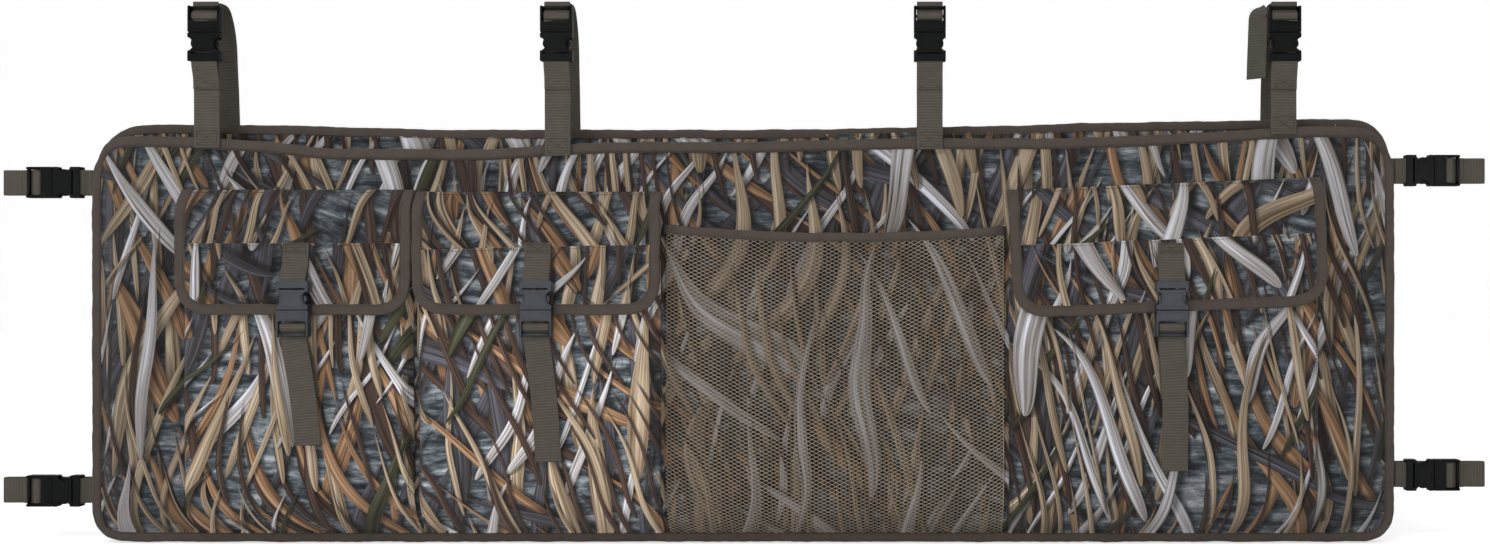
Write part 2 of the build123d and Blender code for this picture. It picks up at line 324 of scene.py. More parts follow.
def blade_group():
    """One layer of curved, pointed reed blades that lies over a colour.

    The blades lie in rows, and each row is cut into cells with one blade or none in each. A
    blade is wider or thinner, leans across its row, is lighter on one side of its midrib, has
    fine streaks along it and throws a shadow beside it.
    """
    tree = bpy.data.node_groups.new("BladeLayer", "ShaderNodeTree")
    inputs = {"Colour": "Color", "Where": "Vector", "Blade": "Color", "Angle": "Float", "Length": "Float",
              "Width": "Float", "Amount": "Float", "Seed": "Float"}
    for way, sockets in (("INPUT", inputs), ("OUTPUT", {"Colour": "Color", "Pick": "Float"})):
        for name, kind in sockets.items():
            tree.interface.new_socket(name, in_out=way, socket_type=f"NodeSocket{kind}")
    t = Tree(tree)
    given = t.add("NodeGroupInput").outputs
    out = t.add("NodeGroupOutput").inputs
    seed, length, width = given["Seed"], given["Length"], given["Width"]
    turned = t.add("ShaderNodeVectorRotate", {"rotation_type": "Z_AXIS"},
                   Vector=given["Where"], Angle=given["Angle"]).outputs[0]
    spot = t.split(turned)
    across = t.over(spot["Y"], width)
    row = t.math("FLOOR", across)
    v = t.minus(t.math("FRACT", across), 0.5)
    slip = t.dice("2D", row, seed)["Value"]
    along = t.plus(t.over(spot["X"], length), slip)
    cell = t.math("FLOOR", along)
    u = t.math("FRACT", along)
    dice = t.dice("3D", row, cell, seed)
    pick = dice["Value"]
    chance = t.add("ShaderNodeSeparateColor", Color=dice["Color"]).outputs
    clump_at = t.join(t.times(cell, length), t.times(row, width), t.times(seed, 90.0))
    clump = t.scaled(t.noise(clump_at, 0.008, 0.0), 4.4, -1.2)
    shown = t.math("LESS_THAN", chance["Red"], t.times(given["Amount"], clump))
    lean = t.times(t.minus(chance["Green"], 0.5), 0.35)
    middle = t.times(lean, t.minus(t.times(u, 2.0), 1.0))
    off = t.minus(v, middle)
    girth = t.scaled(chance["Blue"], 0.2, 0.1)
    taper = t.times(t.math("POWER", u, 0.45), t.minus(1.0, u))
    half = t.times(t.times(taper, 2.3), girth)
    side = t.over(off, t.math("MAXIMUM", half, 0.001))
    reach = t.math("ABSOLUTE", side)
    soft = t.over(0.35, t.times(width, t.math("MAXIMUM", half, 0.01)))
    inside = t.math("DIVIDE", t.minus(1.0, reach), soft, clamp=True)
    shade_side = t.over(t.plus(off, 0.1), t.math("MAXIMUM", half, 0.001))
    near = t.math("SUBTRACT", 1.7, t.math("ABSOLUTE", shade_side), clamp=True)
    fold = t.scaled(t.math("GREATER_THAN", side, 0.05), 0.34, 0.8)
    stripe_at = t.join(t.times(along, 1.3), t.times(side, 2.6), t.times(pick, 90.0))
    streak = t.scaled(t.noise(stripe_at, 1.0, 3.0, 0.65), 4.2, -1.05)
    ends = t.scaled(t.math("SINE", t.times(u, math.pi)), 0.3, 0.8)
    edge = t.minus(1.0, t.math("MULTIPLY", t.math("POWER", reach, 5.0), 0.5, clamp=True))
    light = t.times(t.times(fold, streak), t.times(ends, edge))
    mask = t.times(inside, shown)
    shadow = t.times(t.times(near, shown), 0.8)
    under = t.mix(shadow, given["Colour"], t.mix(0.82, given["Colour"], rgb(16, 14, 14)))
    light = t.math("MAXIMUM", light, 0.02)
    tint = t.join(light, t.math("POWER", light, 1.1), t.math("POWER", light, 1.25))
    t.wire(out["Colour"], t.mix(mask, under, t.vector("MULTIPLY", given["Blade"], tint)))
    t.wire(out["Pick"], pick)
    return tree


BLADES = blade_group()


def palette(*tones):
    return [rgb(*tone) for tone in tones]


PALE = palette((150, 147, 150), (118, 113, 115), (180, 176, 177), (104, 98, 98), (146, 134, 122))
TAN = palette((134, 113, 92), (102, 86, 73), (156, 138, 116), (86, 72, 62), (128, 103, 80))
WARM = palette((116, 88, 68), (88, 66, 54), (138, 107, 80), (74, 58, 49), (112, 91, 73))
DARK = palette((52, 41, 37), (34, 29, 27), (68, 53, 46), (43, 39, 39), (58, 45, 40))
GREY = palette((90, 87, 92), (110, 107, 109), (72, 70, 75), (122, 116, 113), (94, 84, 80))
GREEN = palette((80, 80, 56), (112, 106, 62), (64, 64, 48), (134, 124, 68), (88, 86, 66))
WATER = [
    (0.34, rgb(24, 26, 29)), (0.45, rgb(58, 64, 70)), (0.53, rgb(98, 106, 112)),
    (0.60, rgb(136, 142, 146)), (0.70, rgb(194, 197, 202)),
]
YARN = [(0.25, rgb(156, 141, 122)), (0.5, rgb(192, 177, 156)), (0.75, rgb(222, 208, 186))]
LAYERS = [
    # colours, angle in degrees, length, width, amount
    (WARM, 84, 190, 44, 0.50),
    (GREY, 62, 140, 32, 0.44),
    (DARK, 112, 200, 30, 0.55),
    (GREY, 78, 200, 44, 0.40),
    (TAN, 96, 150, 28, 0.56),
    (WARM, 120, 170, 28, 0.46),
    (GREY, 146, 240, 36, 0.28),
    (PALE, 66, 150, 26, 0.36),
    (TAN, 74, 210, 32, 0.42),
    (DARK, 102, 160, 16, 0.42),
    (GREEN, 58, 150, 26, 0.18),
    (PALE, 124, 220, 42, 0.20),
    (TAN, 104, 180, 20, 0.32),
    (PALE, 82, 250, 54, 0.16),
]
DRIFTS = [
    # seed, scale and reach of the slow bends that the blades follow
    (300.0, 0.0032, 170.0),
    (1700.0, 0.0050, 80.0),
    (3100.0, 0.0026, 270.0),
]
# painted shade: how much darker the canvas is painted behind the mesh pocket
NET_SHADE = -0.35
CANVAS_PITCH = 0.9
YARN_PITCH = 1.25


def new_material(name, recipe, *settings):
    """A new material whose node tree is filled in by a recipe with its settings."""
    material = bpy.data.materials.new(name)
    material.use_nodes = True
    recipe(Tree(material.node_tree), *settings)
    return material


def skin(t, colour, rough, shine, **inputs):
    """Fills in the tree's shader, whose other inputs are given by name with _ for a space."""
    inputs |= {"Base_Color": colour, "Roughness": rough, "Specular_IOR_Level": shine}
    for name, value in inputs.items():
        t.wire(t.tree.nodes["Principled BSDF"].inputs[name.replace("_", " ")], value)


def bump(t, height, strength, distance):
    return t.add("ShaderNodeBump", Height=height, Strength=strength, Distance=distance).outputs[0]


def fabric(t, colour, rough, height, strength, distance=0.0004):
    """A woven surface with a soft sheen, lit through a bump made from its weave."""
    normal = bump(t, height, strength, distance)
    skin(t, colour, rough, 0.25, Normal=normal, Sheen_Weight=0.08, Sheen_Roughness=0.5)


def millimetres(t):
    """The place on the piece in millimetres, as (x, height, depth)."""
    here = t.split(t.add("ShaderNodeTexCoord").outputs["Object"])
    return t.vector("MULTIPLY", t.join(here["X"], here["Z"], here["Y"]), (1000.0, 1000.0, 1000.0))


def painted_net_shade_mask(t, where):
    """Painted shade: 1 where the canvas lies behind the mesh pocket and is darkened, and 0 elsewhere."""
    low, high = NET
    spot = t.split(where)
    beside = t.math("ABSOLUTE", t.minus(spot["X"], (low + high) / 2))
    inside = t.math("LESS_THAN", beside, (high - low) / 2)
    return t.times(inside, t.math("LESS_THAN", spot["Y"], NET_SHADE_TOP + FLOOR))


def camo(t, shift, turn, shade, netted):
    """Canvas printed with reeds over still water, with painted shade where it lies behind the net."""
    where = millimetres(t)
    flat = t.add("ShaderNodeMapping", Vector=where, Location=(*shift, 0.0),
                 Rotation=(0.0, 0.0, math.radians(turn)), Scale=(1.0, 1.0, 0.0)).outputs[0]
    water = t.noise(t.vector("MULTIPLY", flat, (0.32, 1.5, 1.0)), 0.06, 5.0, 0.68)
    colour = t.ramp(water, WATER)
    litter = t.noise(flat, 0.16, 4.0, 0.7)
    colour = t.mix(t.scaled(litter, 6.0, -3.3, clamp=True), colour, rgb(44, 38, 34))
    drifts = []
    for seed, scale, reach in DRIFTS:
        seeded = t.vector("ADD", flat, (0.0, 0.0, seed))
        sway = t.vector("SUBTRACT", t.noise(seeded, scale, 1.0, output="Color"), (0.5, 0.5, 0.5))
        drifts.append(t.vector("ADD", flat, t.vector("MULTIPLY", sway, (reach, reach, 0.0))))
    for number, (tones, angle, length, width, amount) in enumerate(LAYERS):
        layer = t.add("ShaderNodeGroup", {"node_tree": BLADES}, Colour=colour,
                      Where=drifts[number % len(drifts)], Angle=-math.radians(angle),
                      Length=length, Width=width, Amount=amount, Seed=11.0 + 7.3 * number)
        stops = [(0.2 * step, tone) for step, tone in enumerate(tones)]
        t.wire(layer.inputs["Blade"], t.ramp(layer.outputs["Pick"], stops, "CONSTANT"))
        colour = layer.outputs["Colour"]
    grain = t.noise(where, 1.4, 2.0, 0.6)
    speck = t.scaled(grain, 0.5 * shade, 0.75 * shade)
    if netted:
        # painted shade: the canvas behind the net is darkened, as if in the net's shadow
        speck = t.times(speck, t.scaled(painted_net_shade_mask(t, where), NET_SHADE, 1.0))
    light = t.add("ShaderNodeCombineColor", Red=speck, Green=speck, Blue=speck).outputs[0]
    colour = t.mix(1.0, colour, light, "MULTIPLY")
    spot = t.split(where)
    weave = t.times(t.wave(spot["X"], CANVAS_PITCH), t.wave(spot["Y"], CANVAS_PITCH))
    height = t.scaled(weave, 0.5, t.times(grain, 0.6))
    fabric(t, colour, t.scaled(grain, 0.12, 0.74), height, 0.35)


def ribbed(t, base, dark, pitch, strength):
    """Woven tape or webbing: ribs across, yarns along, uneven, slightly dusty colour and shade painted
    between ribs.
    """
    lie = t.add("ShaderNodeAttribute", {"attribute_name": "lie"}).outputs["Vector"]
    spot = t.split(lie)
    rib = t.wave(spot["Y"], pitch)
    yarn = t.wave(spot["X"], YARN_PITCH)
    lifted = t.scaled(rib, 0.5, t.times(t.times(rib, yarn), 0.5))
    dust = t.noise(lie, 0.05, 3.0, 0.6)
    fuzz = t.noise(lie, 1.8, 2.0, 0.7)
    # partly painted shade: the hollows between ribs are darker and the raised ribs lighter; the fuzz
    # gives uneven yarn tone
    tone = t.math("ADD", t.times(lifted, 0.3), t.scaled(fuzz, 0.9, 0.1), clamp=True)
    colour = t.mix(tone, dark, base)
    colour = t.mix(t.times(dust, 0.25), colour, t.mix(0.5, base, rgb(150, 140, 126)))
    height = t.plus(lifted, t.times(fuzz, 0.7))
    fabric(t, colour, t.scaled(fuzz, 0.15, 0.72), height, strength, 0.0003)


def plastic(t, deep, pale, shine):
    """Moulded acetal: a satin skin with a fine spark-eroded grain, cloudy between two tones."""
    where = millimetres(t)
    grain = t.noise(where, 2.6, 3.0, 0.6)
    cloud = t.noise(where, 0.08)
    normal = bump(t, grain, 0.12, 0.0002)
    skin(t, t.mix(cloud, deep, pale), t.scaled(grain, 0.16, 0.24), shine, Normal=normal)


def thread(t, colour):
    """Twisted sewing thread with a slight shine."""
    twist = t.noise(millimetres(t), 3.0, 1.0)
    tone = t.mix(twist, colour, t.mix(0.4, colour, rgb(20, 16, 14)))
    fabric(t, tone, 0.6, twist, 0.4, 0.0002)


def net_yarn(t):
    """Knitted polyester net, whose yarn goes from pale tan to grey brown."""
    where = millimetres(t)
    cloud = t.noise(where, 0.02, 3.0, 0.6)
    fuzz = t.noise(where, 1.2, 2.0, 0.6)
    tone = t.math("ADD", t.times(cloud, 0.6), t.times(fuzz, 0.5), clamp=True)
    fabric(t, t.ramp(tone, YARN), 0.7, fuzz, 0.4)


CAMO_PLACES = {
    # shift of the print, its turn in degrees, and how light it is
    "front": ((0.0, 0.0), 0, 0.76),
    "back": ((2210.0, 940.0), 4, 0.9),
    "pocket_left": ((1210.0, 330.0), 3, 1.25),
    "pocket_middle": ((520.0, 2210.0), -4, 1.6),
    "pocket_right": ((3010.0, 1520.0), 2, 0.9),
    "flap_left": ((1640.0, 2890.0), -12, 0.82),
    "flap_middle": ((2750.0, 2270.0), 8, 0.95),
    "flap_right": ((3480.0, 640.0), -8, 0.95),
    "yoke_left": ((4010.0, 3110.0), 22, 0.8),
    "yoke_middle": ((4630.0, 190.0), -14, 0.9),
    "yoke_right": ((5160.0, 2020.0), 10, 0.9),
}
NET = (-74.5, 261.5)
# painted shade: the top of the darkened patch of canvas behind the net
NET_SHADE_TOP = 308.0
CAMO = {
    part: new_material(f"camo_{part}", camo, *looks, part == "front")
    for part, looks in CAMO_PLACES.items()
}
TAPE_MATERIAL = new_material("binding_tape", ribbed, rgb(86, 76, 71), rgb(44, 38, 34), 1.9, 0.5)
WEB_MATERIAL = new_material("webbing", ribbed, rgb(98, 93, 84), rgb(32, 29, 25), RIB, 0.6)
# painted shade: the top and side buckles' copy of the black plastic is painted darker
SHADE_PAINTED_PLASTIC = new_material("buckle_plastic", plastic, rgb(4, 5, 6), rgb(10, 11, 12), 0.14)
# painted sheen: the pocket buckles' copy of the same plastic is painted lighter and bluish
SHEEN_PAINTED_PLASTIC = new_material("sheen_painted_buckle_plastic", plastic, rgb(30, 34, 41), rgb(52, 58, 67), 0.36)
THREAD = new_material("thread", thread, rgb(74, 62, 52))
NET_MATERIAL = new_material("net_yarn", net_yarn)


# ---------------------------------------------------------------- the case's outline and its faces

TAPE_MIDDLE = BINDING / 2
SIDE = HALF - TAPE_MIDDLE
LOW_RADIUS = 30.0
FRONT_RIM = (
    (-560, 405), (-468, 400), (-412, 393), (-300, 392), (-242, 392), (-198, 396), (-130, 399.5),
    (8, 399), (105, 402), (178, 403), (317, 403), (382, 405), (447, 408), (497, 411), (560, 415),
)
BACK_RIM = (
    (-546, 420), (-497, 420), (-412, 418), (-355, 416), (-290, 415), (48, 415), (145, 417),
    (190, 418), (277, 419), (347, 422), (497, 424), (577, 426),
)
POCKET_PLACES = {
    # left, right, low edge of flap, seam of flap, cross seam at its left and right, tilt in degrees
    "left": (-548.0, -318.5, 229.0, 351.0, 299.2, 299.2, 0.0),
    "middle": (-317.5, -76.0, 229.0, 349.0, 292.6, 298.2, 0.0),
    "right": (263.0, 571.0, 232.0, 357.0, 303.3, 303.3, 2.4),
}
STRAP_X = {"left": -429.0, "middle": -194.0, "right": 421.0}
POCKET_TOP = 312.0


def rim_line(knots, corner_left, corner_right):
    """The middle line of a rim's tape, from one end of the case over the top to the other."""
    over = [(x, height - TAPE_MIDDLE) for x, height in knots]
    left = (-SIDE, over[0][1] + 0.5)
    right = (SIDE, over[-1][1] - 0.5)
    start = RIM_START - 14.0
    points = [(-SIDE, start), left, *over, right, (SIDE, start)]
    radii = [corner_left] + [24.0] * len(over) + [corner_right]
    return rounded_path(points, radii, 4.0)


FRONT_LINE = rim_line(FRONT_RIM, 86.0, 66.0)
BACK_LINE = rim_line(BACK_RIM, 90.0, 68.0)
LOW_CORNERS = [(-SIDE, RIM_START + 4), (-SIDE, TAPE_MIDDLE), (SIDE, TAPE_MIDDLE), (SIDE, RIM_START + 4)]
LOW_LINE = rounded_path(LOW_CORNERS, LOW_RADIUS, 4.0)


def height_on(line, x):
    return np.interp(x, line[:, 0], line[:, 1])


def rise(distance, reach, power=2.4):
    """A quick rounded rise from 0 at an edge to 1 at a distance from it."""
    return 1 - (1 - np.clip(np.asarray(distance, float) / reach, 0, 1)) ** power


def face(x, height):
    """How far forward the front panel's padded face is."""
    x = np.asarray(x, float)
    side = rise(HALF - BINDING - np.abs(x), 60)
    low = rise(height - BINDING, 50)
    pinch = 2.6 * np.exp(-np.clip(height_on(FRONT_LINE, x) - 5 - height, 0, 99) / 9)
    waves = 1.1 * ripple(x, height, 210, 3) + 0.45 * ripple(x, height, 64, 4)
    return EDGE_DEPTH + (FACE_DEPTH - EDGE_DEPTH) * side * low + (waves - 1.0 - pinch) * side * low


def pocket_sides(name):
    """Where a pouch's side seams are."""
    left, right = POCKET_PLACES[name][:2]
    return left + 2, right - 2


def pocket_face(name, x, height):
    """The front of a pouch, which rises from its side seams and from the bottom binding."""
    left, right = pocket_sides(name)
    deep = POCKET_DEPTH - FACE_DEPTH
    seed = 40 + 3 * POCKETS.index(name)
    sides = rise(np.asarray(x) - left, 9, 2.0) * rise(right - np.asarray(x), 9, 2.0)
    low = rise(np.asarray(height) - BINDING, 58, 1.6)
    waves = 1.2 * ripple(x, height, 150, seed) + 0.5 * ripple(x, height, 52, seed + 1)
    return face(x, height) + 1.4 + (deep - 1.4 + waves) * sides * low


def spaced(low, high, step, ends=(1.2, 3.0, 6.0)):
    """Places between two ends, closer together near the ends."""
    middle = np.linspace(low, high, int(round((high - low) / step)) + 1)
    extra = [low + gap for gap in ends] + [high - gap for gap in ends]
    return np.unique(np.concatenate([middle, extra]))


def grid(xs, low, high, step):
    """A grid of x and height between two lines, each given by its height at every x."""
    tall = np.broadcast_to(high - low, xs.shape)
    share = spaced(0, 1, step / np.max(tall), (0.006, 0.016, 0.03))
    heights = low + share[:, None] * tall
    return np.broadcast_to(xs, heights.shape), heights


def solid(x, height, front, back):
    return closed_sheet(np.stack([x, front, height], -1), np.stack([x, back, height], -1))


def panel(name, line, front_of, back_of, material):
    """A padded panel whose edges run into its bindings."""
    xs = spaced(-SIDE + 1, SIDE - 1, 8.0, (1, 2.5, 5, 9, 14, 20, 28))
    x, height = grid(xs, height_on(LOW_LINE, xs), height_on(line, xs), 8.0)
    points, faces = solid(x, height, front_of(x, height), back_of(x, height))
    return mesh_object(name, points, faces, material)


def front_inner(x, height):
    return np.maximum(face(x, height) - 8.6 + 0.5 * ripple(x, height, 90, 8), BACK_DEPTH + 0.4)


def back_rise(x, height):
    return rise(HALF - BINDING - np.abs(x), 40) * rise(height - BINDING, 40)


def back_rear(x, height):
    """The rear face, which is pressed nearly flat and has shallow waves."""
    waves = 0.5 * ripple(x, height, 170, 5) + 0.25 * ripple(x, height, 50, 6)
    return 1.0 - back_rise(x, height) * (0.9 + waves)


def back_inner(x, height):
    return BACK_DEPTH - 1.2 + back_rise(x, height) * (0.7 + 0.5 * ripple(x, height, 140, 7))


front_panel = panel("front_panel", FRONT_LINE, face, front_inner, CAMO["front"])
put(front_panel, "root", "camo_canvas", "front_cover", "front_foam", "front_lining")
back_panel = panel("back_panel", BACK_LINE, back_inner, back_rear, CAMO["back"])
put(back_panel, "root", "camo_canvas", "back_cover", "back_foam", "back_lining")


# ---------------------------------------------------------------- bindings


def outward(line):
    """The way at right angles to a flat (x, height) line, to its left."""
    ahead = unit(np.gradient(line, axis=0))
    return np.stack([-ahead[:, 1], ahead[:, 0]], axis=1)


def rounded_box(width, height, radius, segments=3):
    """The corners of a rounded rectangle, as (side, up) points round it."""
    points = []
    for quarter, (sx, sy) in enumerate(((1, 1), (-1, 1), (-1, -1), (1, -1))):
        for step in range(segments + 1):
            angle = math.pi / 2 * (quarter + step / segments)
            across = sx * (width / 2 - radius) + radius * math.cos(angle)
            up = sy * (height / 2 - radius) + radius * math.sin(angle)
            points.append((across, up))
    return np.array(points)


def bound_edge(name, line, near, far, seed, width=BINDING):
    """A tape folded over an edge that runs along a flat line, between two depths at each point."""
    near, far = np.broadcast_to(near, len(line)), np.broadcast_to(far, len(line))
    runs = arc_lengths(line)
    sway = 0.35 * ripple(runs, runs * 0, 46, seed) + 0.22 * ripple(runs, runs * 0, 15, seed + 1)
    away = outward(line)
    spots = line + away * sway[:, None]
    path = np.stack([spots[:, 0], (near + far) / 2, spots[:, 1]], axis=1)
    sides = np.stack([away[:, 0], np.zeros(len(line)), away[:, 1]], axis=1)
    profiles = []
    for run, thick in zip(runs, far - near):
        puff = 0.3 * math.sin(run / 2.9 + 2 * math.sin(run / 21)) + 0.25
        profiles.append(rounded_box(width, thick + puff, min(3.2, thick * 0.42)))
    points, faces = sweep(path, sides, profiles)
    return mesh_object(name, points, faces, TAPE_MATERIAL, tape_places(runs, arc_lengths(profiles[0])))


def even(line, step=2.4):
    return resample(line, step)


def make_case_bindings():
    front = even(FRONT_LINE)
    depth = face(front[:, 0], front[:, 1] - 14)
    near = np.maximum(depth - 8.5, BACK_DEPTH + 0.2)
    for name, node, line, limits, seed in (
        ("body_binding_tape", "body_binding", even(LOW_LINE), (0.6, EDGE_DEPTH + 1.2), 21),
        ("back_rim_tape", "back_rim_binding", even(BACK_LINE), (0.4, BACK_DEPTH - 0.3), 22),
        ("front_rim_tape", "front_rim_binding", front, (near, depth + 1.0), 23),
    ):
        put(bound_edge(name, line, *limits, seed), "root", "binding_tape", node)


make_case_bindings()


# ---------------------------------------------------------------- stitches

# along, size and height of each ring of a stitch
STITCH_ROWS = ((-0.5, 0.25, -0.5), (-0.36, 0.9, 0.1), (0, 1.0, 0.3), (0.36, 0.9, 0.1), (0.5, 0.25, -0.5))
STITCH_SIDES = 5


def stitches(path, pitch=3.7, length=2.9, radius=0.28, lift=0.12):
    """Short stitches along a line of points, each a small capsule that lies on the surface."""
    path = resample(path, 0.5)
    runs = arc_lengths(path)
    points, faces = [], []
    for start in np.arange(pitch / 2, runs[-1] - pitch / 2, pitch):
        spot, next_spot = (np.array([np.interp(run, runs, path[:, axis]) for axis in range(3)])
                           for run in (start, start + 1.0))
        ahead = (next_spot - spot) / np.linalg.norm(next_spot - spot)
        side = np.cross(ahead, (0, 1, 0))
        side /= np.linalg.norm(side)
        up = np.cross(side, ahead)
        up *= math.copysign(1, up[1])
        base = len(points)
        for along, size, high in STITCH_ROWS:
            middle = spot + ahead * along * length + up * (lift + high * radius)
            for step in range(STITCH_SIDES):
                angle = 2 * math.pi * step / STITCH_SIDES
                points.append(middle + (side * math.cos(angle) + up * math.sin(angle)) * radius * size)
        faces += grid_faces(len(STITCH_ROWS), STITCH_SIDES, base, wrap=True)
        faces.append(tuple(range(base, base + STITCH_SIDES))[::-1])
        faces.append(tuple(range(len(points) - STITCH_SIDES, len(points))))
    return points, faces


def merged(parts):
    """Several (points, faces) as one."""
    points, faces = [], []
    for some_points, some_faces in parts:
        base = len(points)
        points.extend(np.asarray(some_points, float).tolist())
        faces.extend(tuple(index + base for index in face_ids) for face_ids in some_faces)
    return points, faces


def thread_piece(name, rows, body):
    return put(mesh_object(name, *merged(rows), THREAD), body, "binding_tape")


def seam_row(line, shift, depth_of, lift=0.12):
    """A row of stitches beside a flat line, at the depth that a function gives."""
    line = resample(line, 3.0)
    spots = line + outward(line) * shift
    depth = depth_of(spots[:, 0], spots[:, 1])
    return stitches(np.stack([spots[:, 0], depth, spots[:, 1]], axis=1), lift=lift)


def flat_at(depth):
    """A depth that is the same at every x and height."""
    return lambda x, height: np.full(len(x), depth)


def make_case_stitches():
    inner = TAPE_MIDDLE - 2.0
    thread_piece("case_front_stitches", [
        seam_row(LOW_LINE, inner, flat_at(EDGE_DEPTH + 1.35)),
        seam_row(FRONT_LINE, -inner, lambda x, h: face(x, h - 10) + 1.25),
    ], "root")
    thread_piece("case_rear_stitches", [
        seam_row(LOW_LINE, inner, flat_at(0.45), -0.12),
        seam_row(BACK_LINE, -inner, flat_at(0.25), -0.12),
        seam_row(BACK_LINE, -inner, flat_at(BACK_DEPTH - 0.15)),
    ], "root")


make_case_stitches()


# ---------------------------------------------------------------- pockets and flaps


def pocket_body(name):
    """One layer of canvas, sewn down both sides and open under the flap, with a hem."""
    left, right = pocket_sides(name)
    xs = spaced(left, right, 6.0, (0.8, 2.0, 4.0, 7.0, 11.0, 16.0))
    x, height = grid(xs, BINDING - 2, POCKET_TOP, 7.0)
    hem = smooth(height, POCKET_TOP - 14, POCKET_TOP - 12.5)
    front = pocket_face(name, x, height) + 0.7 * hem * rise(x - left, 20) * rise(right - x, 20)
    points, faces = solid(x, height, front, front - 1.5 - 0.7 * hem)
    piece = mesh_object(f"pocket_body_{name}", points, faces, CAMO[f"pocket_{name}"])
    put(piece, "root", "camo_canvas", f"pocket_{name}")
    rows = []
    for start, end, lift in (
        ((left + 3.2, 14.0), (left + 3.2, POCKET_TOP - 2), 0.05),
        ((right - 3.2, 14.0), (right - 3.2, POCKET_TOP - 2), 0.05),
        ((left + 8, POCKET_TOP - 11), (right - 8, POCKET_TOP - 11), 0.75),
    ):
        rows.append(seam_row([start, end], 0.0, lambda x, h: pocket_face(name, x, h) + lift))
    thread_piece(f"pocket_stitches_{name}", rows, "root")


def cross_seam(name, x):
    """The height of the seam across a flap."""
    left, right, _, _, cross_left, cross_right, _ = POCKET_PLACES[name]
    return np.interp(x, (left, right), (cross_left, cross_right)) + 0.4 * ripple(x, x * 0, 60, 61)


def flap_top(name):
    return POCKET_PLACES[name][3] + 1.0


def tilted(piece, name):
    """Turns a flap's piece about the middle of its seam."""
    left, right, _, seam, _, _, tilt = POCKET_PLACES[name]
    pivot = Vector(place(((left + right) / 2, 0.0, seam)))
    turn = Matrix.Rotation(-math.radians(tilt), 4, "Y")
    piece.data.transform(Matrix.Translation(pivot) @ turn @ Matrix.Translation(-pivot))
    return piece


def flap_edge(name):
    """The middle line of the tape down one side, along the bottom and up the other side."""
    left, right, low = POCKET_PLACES[name][:3]
    left, right, low = left + TAPE_MIDDLE, right - TAPE_MIDDLE, low + TAPE_MIDDLE
    top = flap_top(name) - 1.5
    return rounded_path([(left, top), (left, low), (right, low), (right, top)], 30.0, 3.0)


def flap_depth(name, x, height):
    """The outer face of a flap: up from its seam, over the pocket's mouth and down its front."""
    down = np.clip(flap_top(name) - height, 0, None)
    over = 1 - (1 - np.clip(down / 26.0, 0, 1)) ** 2.2
    seed = 70 + 3 * POCKETS.index(name)
    waves = 0.8 * ripple(x, height, 120, seed) + 0.35 * ripple(x, height, 38, seed + 1)
    return FACE_DEPTH + 1.4 + (FLAP_DEPTH - FACE_DEPTH - 2.2 + waves) * over


def flap(name):
    """A lined flap cut in two pieces, with the lower piece's edge folded over the cross seam."""
    edge = flap_edge(name)
    xs = spaced(edge[:, 0].min() + 0.6, edge[:, 0].max() - 0.6, 5.0, (1, 2.5, 5, 9, 14, 20))
    cross = cross_seam(name, xs)
    low_height = grid(xs, np.minimum(height_on(edge, xs), cross - 20), cross - 0.3, 6.0)[1]
    high_height = grid(xs, cross + 0.3, flap_top(name), 6.0)[1]
    height = np.concatenate([low_height, high_height])
    x = np.broadcast_to(xs, height.shape)
    lower = np.arange(len(height))[:, None] < len(low_height)
    beyond = np.abs(cross - height)
    fold = np.where(lower, 0.9 * np.exp(-beyond / 14.0), -0.5 * np.exp(-beyond / 9.0))
    front = flap_depth(name, x, height) + fold
    back = np.maximum(flap_depth(name, x, height) - 3.4, FACE_DEPTH + 0.3)
    points, faces = solid(x, height, front, back)
    piece = mesh_object(f"flap_canvas_{name}", points, faces, CAMO[f"flap_{name}"])
    piece.data.materials.append(CAMO[f"yoke_{name}"])
    columns = len(xs) - 1
    for index in range((len(low_height) - 1) * columns, (len(height) - 1) * columns):
        piece.data.polygons[index].material_index = 1
    put(tilted(piece, name), f"flap_{name}", "camo_canvas", f"flap_{name}")


def flap_binding(name):
    line = even(flap_edge(name))
    depth = flap_depth(name, line[:, 0], line[:, 1])
    near = np.maximum(depth - 4.0, FACE_DEPTH + 0.2)
    piece = bound_edge(f"flap_tape_{name}", line, near, depth + 0.9, 31 + POCKETS.index(name))
    put(tilted(piece, name), f"flap_{name}", "binding_tape", f"flap_binding_{name}")
    left, right = POCKET_PLACES[name][:2]
    seam = np.linspace(left + 12, right - 12, 60)
    hem = flap_top(name) - 3.0
    rows = []
    for line, shift, lift in (
        (flap_edge(name), TAPE_MIDDLE - 2.0, 1.05),
        (np.stack([seam, cross_seam(name, seam) - 2.4], 1), 0.0, 0.8),
        ([(left + 4, hem), (right - 4, hem)], 0.0, 0.05),
    ):
        rows.append(seam_row(line, shift, lambda x, h: flap_depth(name, x, h) + lift))
    tilted(thread_piece(f"flap_stitches_{name}", rows, f"flap_{name}"), name)


for pocket_name in POCKETS:
    pocket_body(pocket_name)
    flap(pocket_name)
    flap_binding(pocket_name)


# ---------------------------------------------------------------- mesh pocket

NET_PITCH = 3.8
NET_YARN = 0.62
NET_DEEP = 11.0
NET_HEIGHT = 318.0
NET_STRANDS = (0, 2.094, 4.189)


def net_top(x):
    """The height of the net's bound top edge, which sags between its ends."""
    share = (np.asarray(x) - NET[0]) / (NET[1] - NET[0])
    return NET_HEIGHT - 2.0 * share - 31.0 * share * (1 - share)


